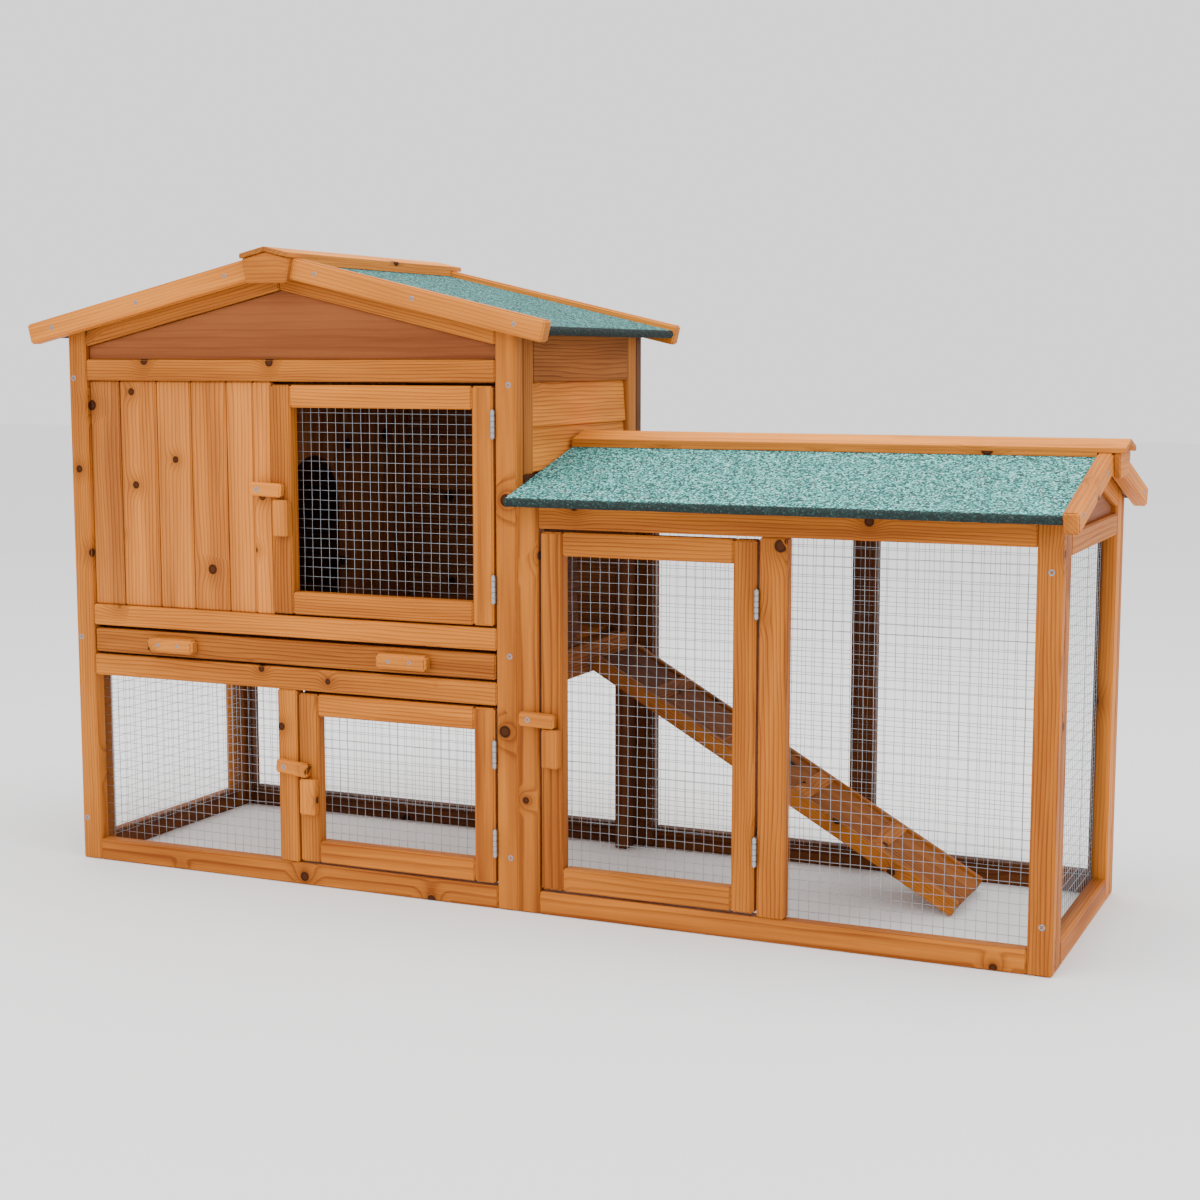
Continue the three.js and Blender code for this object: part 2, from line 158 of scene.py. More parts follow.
# ---- materials ---------------------------------------------------------------------------------
def wood(name, light, dark, ring_size=4.2 * MM, contrast=0.55, gloss=0.52):
    """Stained fir, drawn from each board's own grain coordinates: x along it, y and z across it. The board's
    tone dims or lifts it, and a dark tone turns it redder. Besides each board's random tone, the tone carries
    painted shade and painted light."""
    n = Nodes(name)
    grain = n.attribute("grain").outputs["Vector"]
    tone = n.attribute("tone").outputs["Fac"]
    worn = n.attribute("edge").outputs["Fac"]
    x, y, z = n.split(grain)

    # knots: a few cells of a grid laid along the board, with the rings bending round them
    sheet = n.join(x, n.math("ADD", y, z), 0.0)
    apart, cell = n.cells(sheet, 10.0, dimensions="2D")
    kind, size, _ = n.split(cell)
    far = n.math("DIVIDE", apart, n.math("ADD", size, 0.55))
    chosen = n.ramp(kind, (0.64, 0.0), (0.66, 1.0))
    core = n.math("MULTIPLY", n.ramp(far, (0.040, 1.0), (0.054, 0.0)), chosen)
    rim = n.math("MULTIPLY", n.ramp(far, (0.026, 0.0), (0.046, 1.0), (0.060, 0.0)), chosen)
    halo = n.math("MULTIPLY", n.math("POWER", n.ramp(far, (0.04, 1.0), (0.30, 0.0)), 2.0), chosen)

    # growth rings: circles around the tree's middle, which lies outside the board
    drift = n.noise(n.vector("MULTIPLY", grain, (3.0, 22.0, 22.0)), detail=2.0)
    wide = n.math("ADD", y, n.math("MULTIPLY", n.math("SUBTRACT", drift, 0.5), 0.020))
    radius = n.math("POWER", n.math("ADD", n.math("POWER", wide, 2.0), n.math("POWER", z, 2.0)), 0.5)
    bent = n.math("ADD", radius, n.math("MULTIPLY", halo, 0.009))
    ring = n.math("FRACT", n.math("DIVIDE", bent, ring_size))
    late = n.ramp(ring, (0.0, 0.0), (0.55, 0.18), (0.86, 1.0), (0.97, 0.25), (1.0, 0.0))

    fibre = n.noise(n.vector("MULTIPLY", grain, (9.0, 700.0, 700.0)), detail=4.0)
    cloud = n.noise(n.vector("MULTIPLY", grain, (2.2, 30.0, 30.0)), detail=3.0)
    broad = n.noise(n.vector("MULTIPLY", grain, (0.8, 2.0, 2.0)), detail=0.0)
    heart = n.ramp(broad, (0.38, 0.0), (0.62, 1.0))
    pore = n.noise(n.vector("MULTIPLY", grain, (40.0, 1500.0, 1500.0)), detail=2.0)

    depth = n.math("ADD", n.math("MULTIPLY", late, contrast), n.math("MULTIPLY", heart, 0.34))
    depth = n.math("ADD", depth, n.math("MULTIPLY", n.math("SUBTRACT", fibre, 0.42), 0.8))
    depth = n.math("ADD", depth, n.math("MULTIPLY", n.math("SUBTRACT", cloud, 0.45), 1.7), clamp=True)
    body = n.mix(depth, light, dark)
    stained = n.mix(n.math("MULTIPLY", halo, 0.6), body, tuple(0.75 * c for c in dark))
    knotted = n.mix(core, stained, (0.070, 0.020, 0.006))
    ringed = n.mix(rim, knotted, (0.022, 0.007, 0.003))
    rubbed = n.mix(n.math("MULTIPLY", worn, 0.28), ringed, tuple(min(1.0, c * 1.2) for c in light))
    dimmed = n.join(tone, tone, n.math("POWER", tone, 0.5))
    toned = n.mix(1.0, rubbed, dimmed, "MULTIPLY")
    n.link(toned, n.shader.inputs["Base Color"])
    rough = n.math("ADD", gloss, n.math("MULTIPLY", n.math("SUBTRACT", fibre, 0.5), 0.35))
    n.link(rough, n.shader.inputs["Roughness"])
    n.shader.inputs["Specular IOR Level"].default_value = 0.06
    height = n.math("ADD", n.math("MULTIPLY", late, 0.5), n.math("MULTIPLY", pore, 0.8))
    n.bump(height, 0.00035, 0.45)
    return n.material


def roofing_felt():
    """Green mineral felt: pale and dark granules a millimetre or two across, bitumen between them."""
    n = Nodes("mineral_felt")
    at = n.attribute("grain").outputs["Vector"]
    bare_and_shaded = n.attribute("edge").outputs["Fac"]
    far, cell = n.cells(at, 430.0)
    shade, tint, rise = n.split(cell)
    patch = n.noise(at, 9.0, detail=4.0)
    speck = n.ramp(shade, (0.0, (0.008, 0.040, 0.035)), (0.32, (0.025, 0.13, 0.12)),
                   (0.55, (0.08, 0.42, 0.38)), (0.85, (0.22, 0.90, 0.85)), (1.0, (0.65, 0.97, 0.95)))
    faded = n.mix(n.math("MULTIPLY", patch, 0.2), speck, (0.12, 0.46, 0.42))
    rusty = n.mix(n.ramp(tint, (0.965, 0.0), (0.975, 0.6)), faded, (0.40, 0.33, 0.30))
    gaps = n.ramp(far, (0.42, 0.0), (0.78, 0.85))
    bedded = n.mix(gaps, rusty, (0.012, 0.030, 0.026))
    # the eave's nose and the turned-under back are drawn as dark bitumen: bare on the back, painted shade on
    # the nose
    nose_darkening = n.math("MULTIPLY", n.ramp(rise, (0.0, 1.0), (1.0, 0.92)), bare_and_shaded)
    bitumen_and_painted_shade = n.mix(nose_darkening, bedded, (0.010, 0.018, 0.016))
    # the tone dims the felt with painted shade
    tone = n.attribute("tone").outputs["Fac"]
    n.link(n.mix(1.0, bitumen_and_painted_shade, n.join(tone, tone, tone), "MULTIPLY"), n.shader.inputs["Base Color"])
    n.shader.inputs["Roughness"].default_value = 0.86
    n.shader.inputs["Specular IOR Level"].default_value = 0.3
    n.bump(n.math("SUBTRACT", n.math("MULTIPLY", rise, 0.5), far), 0.0016, 0.8)
    return n.material


def metal(name, colour, roughness):
    """Zinc-coated steel with the faint cloudy patches of the coating."""
    n = Nodes(name)
    at = n.attribute("grain").outputs["Vector"]
    far, cell = n.cells(at, 900.0)
    cloudy = n.noise(at, 260.0, detail=3.0)
    patches = n.math("ADD", n.math("MULTIPLY", cloudy, 0.6), n.math("MULTIPLY", far, 0.4))
    dull = tuple(0.736 * c for c in colour)
    n.link(n.mix(patches, colour, dull), n.shader.inputs["Base Color"])
    n.shader.inputs["Metallic"].default_value = 0.9
    n.link(n.math("ADD", roughness, n.math("MULTIPLY", cloudy, 0.12)), n.shader.inputs["Roughness"])
    n.bump(cloudy, 0.0001, 0.3)
    return n.material


def floor_material():
    """A plain pale floor."""
    n = Nodes("studio_floor")
    at = n.tree.nodes.new("ShaderNodeTexCoord").outputs["Object"]
    soft = n.noise(at, 1.4, detail=2.0)
    n.link(n.mix(soft, (0.90, 0.90, 0.90), (0.93, 0.93, 0.93)), n.shader.inputs["Base Color"])
    n.shader.inputs["Roughness"].default_value = 0.8
    return n.material


FRAME_WOOD = wood("honey_fir_frame", (0.60, 0.198, 0.026), (0.24, 0.060, 0.010))
BOARD_WOOD = wood("honey_fir_boards", (0.66, 0.224, 0.038), (0.28, 0.078, 0.016), 5.5 * MM, gloss=0.72)
TRIM_WOOD = wood("honey_fir_trim", (0.71, 0.242, 0.033), (0.35, 0.10, 0.015), 5.0 * MM, 0.4)
# the plywood's dark colour is painted shade, standing for the shade under the barge boards and roofs
PLY_WOOD = wood("stained_plywood_painted_shade", (0.30, 0.094, 0.029), (0.18, 0.050, 0.015), 11.0 * MM, 0.30)
FELT = roofing_felt()
WIRE = metal("galvanised_wire", (0.40, 0.43, 0.46), 0.36)
ZINC = metal("zinc_plate", (0.40, 0.41, 0.42), 0.34)
SCREW = metal("screw_steel", (0.30, 0.34, 0.38), 0.34)
MATERIALS = {"frame": FRAME_WOOD, "boards": BOARD_WOOD, "trim": TRIM_WOOD, "plywood": PLY_WOOD,
             "felt": FELT, "wire": WIRE, "zinc": ZINC}


# ---- building pieces ---------------------------------------------------------------------------
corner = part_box("house_front_frame")[0]


def place(x, y, z):
    """A point given in millimetres from the left post's outer face, the front faces and the ground."""
    return corner + Vector((x, y, z)) * MM


class Piece:
    """One visual piece, gathered from solids, each with its own grain coordinates and tone.

    body is what it rides on, slot its kind of material, and replaced the CAD nodes that it stands for.
    """

    def __init__(self, name, body, slot, *replaced, transform=None, material=None):
        self.name, self.body, self.slot, self.replaced = name, body, slot, replaced
        self.material = material or MATERIALS[slot]
        self.transform = transform or Matrix.Identity(4)
        self.points, self.faces, self.grain, self.tone, self.edge = [], [], [], [], []

    def take(self, points, faces, along, tone=1.0, edges=None, normals=None):
        """Adds a mesh in local coordinates. along is its grain direction. tone is a number, or a rule that
        gives one from a point and its face's normal. End grain is darker."""
        along = along.normalized()
        up = Z if abs(along.z) < 0.8 else X
        across = (up - along * up.dot(along)).normalized()
        third = along.cross(across)
        offset = Vector((draw.uniform(-9, 9), draw.uniform(0.012, 0.05), draw.uniform(-0.02, 0.02)))
        shade = draw.uniform(0.84, 1.08)
        normals = normals or [None] * len(faces)
        first = len(self.points)
        for p in points:
            self.points.append(self.transform @ p)
            self.grain.append(Vector((p.dot(along), p.dot(across), p.dot(third))) + offset)
        for face, normal in zip(faces, normals):
            end_grain = normal is not None and abs(normal.dot(along)) > 0.85
            here = shade * (END_GRAIN if end_grain else 1.0)
            self.tone += [here * (tone(points[i], normal) if callable(tone) else tone) for i in face]
        self.faces += [[first + i for i in face] for face in faces]
        self.edge += edges or [0.0] * len(faces)

    def prism(self, outline, depth, along, bevel=EDGE, tone=1.0):
        """A bevelled solid: an outline of points swept by the vector depth. Its bevels are marked as worn."""
        solid = bmesh.new()
        base = solid.faces.new([solid.verts.new(p) for p in outline])
        swept = bmesh.ops.extrude_face_region(solid, geom=[base])["geom"]
        bmesh.ops.translate(solid, vec=depth, verts=[v for v in swept if isinstance(v, bmesh.types.BMVert)])
        bmesh.ops.recalc_face_normals(solid, faces=solid.faces)
        solid.normal_update()
        flat = [f.normal.copy() for f in solid.faces]
        if bevel:
            bmesh.ops.bevel(solid, geom=list(solid.edges), offset=bevel, segments=3, affect="EDGES",
                            clamp_overlap=True)
        solid.verts.index_update()
        solid.normal_update()
        normals = [f.normal.copy() for f in solid.faces]
        edges = [0.0 if any(normal.dot(side) > 0.999 for side in flat) else 1.0 for normal in normals]
        self.take([v.co.copy() for v in solid.verts], [[v.index for v in f.verts] for f in solid.faces],
                  along, tone, edges, normals)
        solid.free()

    def board(self, x, y, z, bevel=EDGE, tone=1.0):
        """A bevelled board between two places on each axis, in millimetres, with its grain lengthways."""
        low, high = place(x[0], y[0], z[0]), place(x[1], y[1], z[1])
        size = high - low
        along = (X, Y, Z)[max(range(3), key=lambda i: size[i])]
        outline = [low, low + X * size.x, low + X * size.x + Y * size.y, low + Y * size.y]
        self.prism(outline, Z * size.z, along, bevel, tone)

    def facing(self, outline, y, along, bevel=EDGE, tone=1.0):
        """A board drawn in x and z, filling y."""
        self.prism([place(a, y[0], b) for a, b in outline], Y * (y[1] - y[0]) * MM, along, bevel, tone)

    def sideways(self, outline, x, along, bevel=EDGE, tone=1.0):
        """A board drawn in y and z, filling x."""
        self.prism([place(x[0], a, b) for a, b in outline], X * (x[1] - x[0]) * MM, along, bevel, tone)

    def gable(self, roof, outline, span, along, bevel=EDGE, tone=1.0):
        """A board drawn across a roof's slopes, filling span along its ridge."""
        plate = self.facing if roof.along == Y else self.sideways
        plate(outline, span, along, bevel, tone)

    def finish(self):
        """Makes the object, with the attributes that the materials read."""
        mesh = bpy.data.meshes.new(self.name)
        mesh.from_pydata(self.points, [], self.faces)
        for name, kind, domain, key, values in (
            ("grain", "FLOAT_VECTOR", "POINT", "vector", [c for g in self.grain for c in g]),
            ("tone", "FLOAT", "CORNER", "value", self.tone),
            ("edge", "FLOAT", "FACE", "value", self.edge),
        ):
            mesh.attributes.new(name, kind, domain).data.foreach_set(key, values)
        mesh.materials.append(self.material)
        mesh.validate()
        made = bpy.data.objects.new(self.name, mesh)
        bpy.context.scene.collection.objects.link(made)
        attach(made, self.body)
        if self.replaced:
            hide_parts(*self.replaced)
        return made


# ---- the frame's own levels, in millimetres ----------------------------------------------------
def measured(node):
    """A CAD node's box, in the millimetres that place() takes."""
    low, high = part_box(node)
    return (low - corner) / MM, (high - corner) / MM


HOUSE = measured("house_front_frame")[1].x
DEPTH = measured("house_back_frame")[1].y
RUN = measured("run_front_frame")[1].x
POST = 30.0
THIN = 20.0
BACK = DEPTH - THIN
TRAY_LOW, TRAY_HIGH, UPPER = (270.0, 300.0), (342.0, 371.0), (687.0, 716.0)
MULLION = (336.0, 366.0)
JAMB = 332.0
RUN_STILE = (1030.0, 1065.0)
RUN_RAIL = 503.0
END_RAIL = (490.0, 518.0)
DOORWAY_Y, DOORWAY_Z = (200.0, 360.0), (325.0, 515.0)
GAP = 0.4


class Roof:
    """The lines of one roof across its span, in millimetres.

    along is the ridge's direction, middle and ridge are where it lies, and slope is the fall per millimetre.
    half is how far it reaches from its middle, proud how far the barge boards stand above the felt, and barge
    how deep they are. The last argument dims its felt with painted shade.
    """

    def __init__(self, along, middle, ridge, slope, half, proud, barge, painted_felt_shade):
        self.along, self.across = along, X if along == Y else Y
        self.middle, self.ridge, self.slope, self.half = middle, ridge, slope, half
        self.proud, self.barge, self.painted_felt_shade = proud, barge, painted_felt_shade
        self.board = 12.0
        self.thick = self.board * math.hypot(1, slope)

    def span(self, node):
        """Where a CAD node starts and ends along the ridge."""
        return [end.dot(self.along) for end in measured(node)]

    def felt(self, at):
        return self.ridge - abs(at - self.middle) * self.slope

    def under(self, at):
        return self.felt(at) - self.thick - 0.5

    def top(self, at):
        return self.felt(at) + self.proud


# the main roof's felt is dimmed to 0.60 with painted shade
MAIN = Roof(Y, 351.0, 848.7, 0.2296, 402.0, 8.2, 28.7, 0.60)
LEAN = Roof(X, DEPTH / 2, 609.4, 0.274, 246.0, 5.0, 27.0, 1.0)


def painted_inner_shade(outward, deep):
    """A tone of painted shade for boards: darker on every face but the outer one and the hutch's two ends."""
    ends = (corner.x + 2 * MM, corner.x + (RUN - 2) * MM)

    def tone(p, normal):
        outside = normal.dot(outward) > 0.3 or not ends[0] < p.x < ends[1]
        return 1.0 if outside else deep

    return tone


# ---- frames ------------------------------------------------------------------------------------
def gable_sticks(piece, roof, start, end, span, tone):
    """Two posts with sloped tops, and two rafters between them."""
    rafter = 27.5
    inner = (start + POST, end - POST)
    for low, high in ((start, inner[0]), (inner[1], end)):
        outline = [(low, 0), (high, 0), (high, roof.under(high)), (low, roof.under(low))]
        piece.gable(roof, outline, span, Z, tone=tone)
    for side, from_at in ((-1, inner[0]), (1, inner[1])):
        middle = roof.middle + side * GAP
        outline = [(from_at, roof.under(from_at)), (from_at, roof.under(from_at) - rafter),
                   (middle, roof.under(middle) - rafter), (middle, roof.under(middle))]
        piece.gable(roof, outline, span, roof.across - Z * side * roof.slope, tone=tone)


def house_front():
    """The front frame, its slats, the gable, and near-black strips of painted shade behind the tray slot and
    lower door.
    """
    piece = Piece("house_front_sticks", "hutch", "frame", "house_front_frame")
    span = (0, THIN)
    gable_sticks(piece, MAIN, 0, HOUSE, span, 1.0)
    inner = (POST + GAP, HOUSE - POST - GAP)
    for low, high in ((0, POST), TRAY_LOW, TRAY_HIGH, UPPER):
        piece.board(inner, span, (low, high))
    piece.board(MULLION, span, (POST + GAP, TRAY_LOW[0] - GAP))
    piece.finish()

    stops = Piece("house_front_stops", "hutch", "boards")
    # painted shade: near-black strips stand for the shade behind the tray slot and the lower door
    for low, high in ((TRAY_LOW[1], TRAY_LOW[1] + 2), (TRAY_HIGH[0] - 4, TRAY_HIGH[0])):
        stops.board(inner, (12, THIN - 0.5), (low, high), bevel=0, tone=0.08)
    stops.board((MULLION[1] + 1, inner[1]), (THIN + 0.5, THIN + 4), (TRAY_LOW[0] - 8, TRAY_LOW[0] + 2),
                bevel=0, tone=0.15)
    stops.finish()

    slats = Piece("house_front_slats", "hutch", "boards", "house_front_boards")
    edges = (POST, 81, 143, 200, 258, 302, JAMB)
    for n, (low, high) in enumerate(zip(edges, edges[1:])):
        jamb = n == len(edges) - 2
        slats.board((low + 0.7, high - 0.7), (4.5 if jamb else 6.2, 18), (TRAY_HIGH[1] + GAP, UPPER[0] - GAP),
                    bevel=1.7 * MM, tone=1.06 if n % 2 else 0.94)
    # painted shade: a dark sheet behind the slats fills their gaps
    backing = (13, 17)
    slats.board((edges[0] + 1, JAMB - 1), backing, (TRAY_HIGH[1] + 1, UPPER[0] - 1), bevel=0, tone=0.3)
    slats.finish()

    ply = Piece("house_front_gable_ply", "hutch", "plywood", "house_front_gable")
    ends = (POST + 1, MAIN.middle, HOUSE - POST - 1)
    top = [(at, MAIN.under(at) - 28.5) for at in reversed(ends)]
    ply.facing([(ends[0], UPPER[1] + 0.5), (ends[2], UPPER[1] + 0.5), *top], (8, 14), X, bevel=0.4 * MM)
    ply.finish()


def house_back():
    """The back frame and its boards, lying level."""
    # painted shade on every face of the back frame but the outer one
    tone = painted_inner_shade(Y, 0.22)
    piece = Piece("house_back_sticks", "hutch", "frame", "house_back_frame")
    span = (BACK, DEPTH)
    gable_sticks(piece, MAIN, 0, HOUSE, span, tone)
    for low, high in ((0, POST), TRAY_LOW, UPPER):
        piece.board((POST + GAP, HOUSE - POST - GAP), span, (low, high), tone=tone)
    piece.finish()

    low, high = measured("house_back_boards")
    slats = Piece("house_back_slats", "hutch", "boards", "house_back_boards")
    # painted shade on the back boards and their backing, all but the outer faces
    tone = painted_inner_shade(Y, 0.3)
    count = 6
    step = (MAIN.under(low.x) - low.z) / count
    for n in range(count):
        foot = low.z + n * step
        rise = (foot + 0.3, foot + step - 0.3)
        slats.board((low.x, high.x), (low.y, high.y), rise, bevel=1.2 * MM, tone=tone)
    base = low.z + count * step + 0.3
    ends = (low.x + 8, MAIN.middle, high.x - 8)
    top = [(at, MAIN.under(at) - 0.5) for at in reversed(ends)]
    slats.facing([(ends[0], base), (ends[2], base), *top], (low.y, high.y), X, bevel=0.3 * MM, tone=tone)
    slats.board((low.x, high.x), (low.y + 3, high.y - 3), (low.z + 1, base), bevel=0, tone=tone)
    slats.finish()


def house_left():
    """The left frame and its boards."""
    low, high = measured("house_left_frame")
    # painted shade on every face of the left frame but the outer one
    tone = painted_inner_shade(-X, 0.4)
    piece = Piece("house_left_sticks", "hutch", "frame", "house_left_frame")
    for start in (low.y, high.y - POST):
        piece.board((0, THIN), (start, start + POST), (0, high.z), tone=tone)
    across = (low.y + POST + GAP, high.y - POST - GAP)
    for bottom, top in ((0, POST), TRAY_LOW, (UPPER[0], high.z)):
        piece.board((0, THIN), across, (bottom, top), tone=tone)
    piece.finish()

    low, high = measured("house_left_boards")
    slats = Piece("house_left_slats", "hutch", "boards", "house_left_boards")
    # painted shade on the left boards but their outer faces
    tone = painted_inner_shade(-X, 0.35)
    count = 6
    step = (high.z - low.z) / count
    for n in range(count):
        foot = low.z + n * step
        rise = (foot + 0.3, foot + step - 0.3)
        slats.board((low.x, high.x), (low.y, high.y), rise, bevel=1.2 * MM, tone=tone)
    # painted shade: the sheet behind the boards is dark (0.3)
    slats.board((low.x + 3, high.x - 3), (low.y, high.y), (low.z + 1, high.z - 1), bevel=0, tone=0.3)
    slats.finish()


def house_right():
    """Lapped boards between two stiles, cut round the doorway to the ramp, with painted shade below the run's
    roof and under the eave, and painted light on the lapped boards between.
    """
    low, high = measured("house_right_wall")
    piece = Piece("house_right_boards", "hutch", "boards", "house_right_wall")
    inner = (low.y + POST + GAP, high.y - POST - GAP)
    # painted shade below the run's roof and on the core behind the boards (0.2), the stiles above it (0.75),
    # the floor rail (0.5) and the top board under the eave (0.68); painted light on the lapped boards (1.5,
    # 1.35)
    painted_shade, run_roof = 0.2, 569
    painted_light_and_shade = ((run_roof + 1, painted_shade), (645, 1.5), (UPPER[0] + 1, 1.35))
    for start in (low.y, high.y - POST):
        piece.board((low.x, high.x), (start, start + POST), (0, run_roof), tone=painted_shade)
        piece.board((low.x, high.x), (start, start + POST), (run_roof + 0.3, high.z), tone=0.75)
    floor_rail = 283
    piece.board((low.x, high.x), inner, (floor_rail, DOORWAY_Z[0] - GAP), tone=0.5)
    piece.board((low.x, high.x), inner, (UPPER[0] + GAP, high.z), tone=0.68)
    core = (low.x + 6.5, low.x + 9)
    piece.board(core, inner, (DOORWAY_Z[1] + 1, UPPER[0]), bevel=0, tone=painted_shade)
    piece.board(core, (inner[0], DOORWAY_Y[0] - 1), (DOORWAY_Z[0], DOORWAY_Z[1]), bevel=0, tone=painted_shade)
    pitch = 58
    top = UPPER[0]
    while top > DOORWAY_Z[0]:
        bottom = max(top - pitch, DOORWAY_Z[0])
        end = inner[1] if bottom > DOORWAY_Z[1] else DOORWAY_Y[0]
        section = [(low.x + 6, bottom + GAP), (high.x - 3, bottom + GAP), (high.x - 7, top), (low.x + 6, top)]
        outline = [place(a, inner[0], b) for a, b in section]
        tone = next(tone for limit, tone in painted_light_and_shade if (top + bottom) / 2 < limit)
        piece.prism(outline, Y * (end - inner[0]) * MM, Y, 1.2 * MM, tone)
        top -= pitch
    piece.finish()


def partition():
    """The inside wall, with its arched doorway."""
    low, high = measured("partition_with_arch")
    arch_left, arch_right, arch_top = 40.0, 190.0, 583.0
    radius = (arch_right - arch_left) / 2
    steps = 18
    turns = [math.pi * i / steps for i in range(steps + 1)]
    arc = [(arch_left + radius - radius * math.cos(turn), arch_top - radius + radius * math.sin(turn))
           for turn in turns]
    outline = [(low.y, low.z), (arch_left, low.z), *arc, (arch_right, low.z), (high.y, low.z),
               (high.y, high.z), (low.y, high.z)]
    piece = Piece("partition_board", "hutch", "boards", "partition_with_arch")
    # painted shade: the inside wall is drawn darker (0.34)
    piece.sideways(outline, (low.x, high.x), Z, bevel=0.8 * MM, tone=0.34)
    piece.finish()


def run_frames():
    """The run's front, back and end frames, and the gable at its end."""
    top = measured("run_front_frame")[1].z
    # the back frame takes painted shade on all but its outer faces
    for name, span, tone in (("front", (0, THIN), 1.0), ("back", (BACK, DEPTH), painted_inner_shade(Y, 0.24))):
        piece = Piece(f"run_{name}_sticks", "hutch", "frame", f"run_{name}_frame")
        for low, high in ((HOUSE + 0.2, HOUSE + POST), (RUN - POST, RUN)):
            piece.board((low, high), span, (0, top), tone=tone)
        inner = (HOUSE + POST + GAP, RUN - POST - GAP)
        piece.board(inner, span, (0, POST), tone=tone)
        piece.board(inner, span, (RUN_RAIL, top), tone=tone)
        piece.board(RUN_STILE, span, (POST + GAP, RUN_RAIL - GAP), tone=tone)
        piece.finish()

    end = Piece("run_end_sticks", "hutch", "frame", "run_end_frame")
    span = (RUN - THIN, RUN)
    # painted shade on the end frame's inner faces
    tone = painted_inner_shade(X, 0.45)
    gable_sticks(end, LEAN, THIN, BACK, span, tone)
    across = (THIN + POST + GAP, BACK - POST - GAP)
    for low, high in ((0, POST), END_RAIL):
        end.board(span, across, (low, high), tone=tone)
    end.finish()
    ply = Piece("run_end_gable_ply", "hutch", "plywood")
    ends = (across[0], LEAN.middle, across[1])
    rise = [(at, LEAN.under(at) - 27) for at in reversed(ends)]
    ply.sideways([(ends[0], END_RAIL[1]), (ends[2], END_RAIL[1]), *rise], (RUN - 12, RUN - 8), Y, bevel=0)
    ply.finish()


# ---- wire mesh ---------------------------------------------------------------------------------
WIRE_R = 0.32 * MM
PITCH = 13.0 * MM
LAYERS = 1.7 * WIRE_R


def wire_panel(node, body, axis, inward):
    """Welded mesh over a panel's box. axis is the thin one; inward is the side its second layer lies on."""
    low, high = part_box(node)
    u, v = ((Y, Z), (X, Z), (X, Y))[axis]
    thin = (X, Y, Z)[axis]
    size = high - low
    middle = (low + high) / 2
    piece = Piece(node + "_wires", body, "wire", node)
    for run, step, layer in ((v, u, -inward * LAYERS / 2), (u, v, inward * LAYERS / 2)):
        length, room = size.dot(run), size.dot(step)
        count = int(room / PITCH)
        for n in range(count + 1):
            at = middle + step * ((n - count / 2) * PITCH) + thin * layer
            add_wire(piece, at, run, step, thin, length - draw.uniform(0, 2) * MM)
    piece.finish()


def add_wire(piece, at, run, step, thin, length):
    """One straight wire with the slight waves that welded mesh has, round its own middle line."""
    sides, spans = 5, max(4, int(length / 0.03))
    sway = [draw.uniform(-0.4, 0.4) * MM for _ in range(spans + 1)]
    points, faces = [], []
    for i in range(spans + 1):
        centre = at + run * (length * (i / spans - 0.5)) + step * sway[i] * 0.8 + thin * sway[i] * 0.25
        for k in range(sides):
            turn = 2 * math.pi * k / sides
            points.append(centre + (step * math.cos(turn) + thin * math.sin(turn)) * WIRE_R)
    for i in range(spans):
        for k in range(sides):
            a, b = i * sides + k, i * sides + (k + 1) % sides
            faces.append([a, b, b + sides, a + sides])
    faces += [list(range(sides))[::-1], [spans * sides + k for k in range(sides)]]
    piece.take(points, faces, run)


def wire_panels():
    """Every mesh panel. Each second layer lies on the side away from the wood."""
    wire_panel("house_front_mesh", "hutch", 1, 1)
    wire_panel("house_back_mesh", "hutch", 1, -1)
    wire_panel("house_left_mesh", "hutch", 0, 1)
    wire_panel("run_front_mesh", "hutch", 1, 1)
    wire_panel("run_back_mesh", "hutch", 1, -1)
    wire_panel("run_end_mesh", "hutch", 0, -1)
    for door in DOORS:
        wire_panel(f"{door}_door_mesh", f"{door}_door", 1, 1)


# ---- screws ------------------------------------------------------------------------------------
def add_screw(piece, at, out, radius=3.8 * MM):
    """A countersunk head with a cross recess, facing out, as rings of points from the middle to the rim."""
    side = (Z if abs(out.z) < 0.8 else X).cross(out).normalized()
    up = out.cross(side)
    turn = Matrix.Rotation(draw.uniform(0, math.pi), 2)
    rings, around = 9, 40
    recess, crown, rim = 1.3 * MM, 0.45 * MM, 0.6 * MM
    points = [at - out * recess]
    for ring in range(1, rings + 1):
        r = radius * min(1.0, ring / (rings - 1))
        for k in range(around):
            angle = 2 * math.pi * k / around
            flat = Vector((r * math.cos(angle), r * math.sin(angle)))
            arm = min(abs(flat.x), abs(flat.y)) < 0.16 * radius and r < 0.66 * radius
            height = -recess if arm else crown * (1 - 0.6 * (r / radius) ** 2)
            if ring == rings:
                height = -rim
            rolled = turn @ flat
            points.append(at + side * rolled.x + up * rolled.y + out * height)
    faces = [[0, 1 + k, 1 + (k + 1) % around] for k in range(around)]
    for ring in range(rings - 1):
        for k in range(around):
            a, b = 1 + ring * around + k, 1 + ring * around + (k + 1) % around
            faces.append([a, a + around, b + around, b])
    faces.append([1 + (rings - 1) * around + k for k in range(around)][::-1])
    piece.take(points, faces, side)


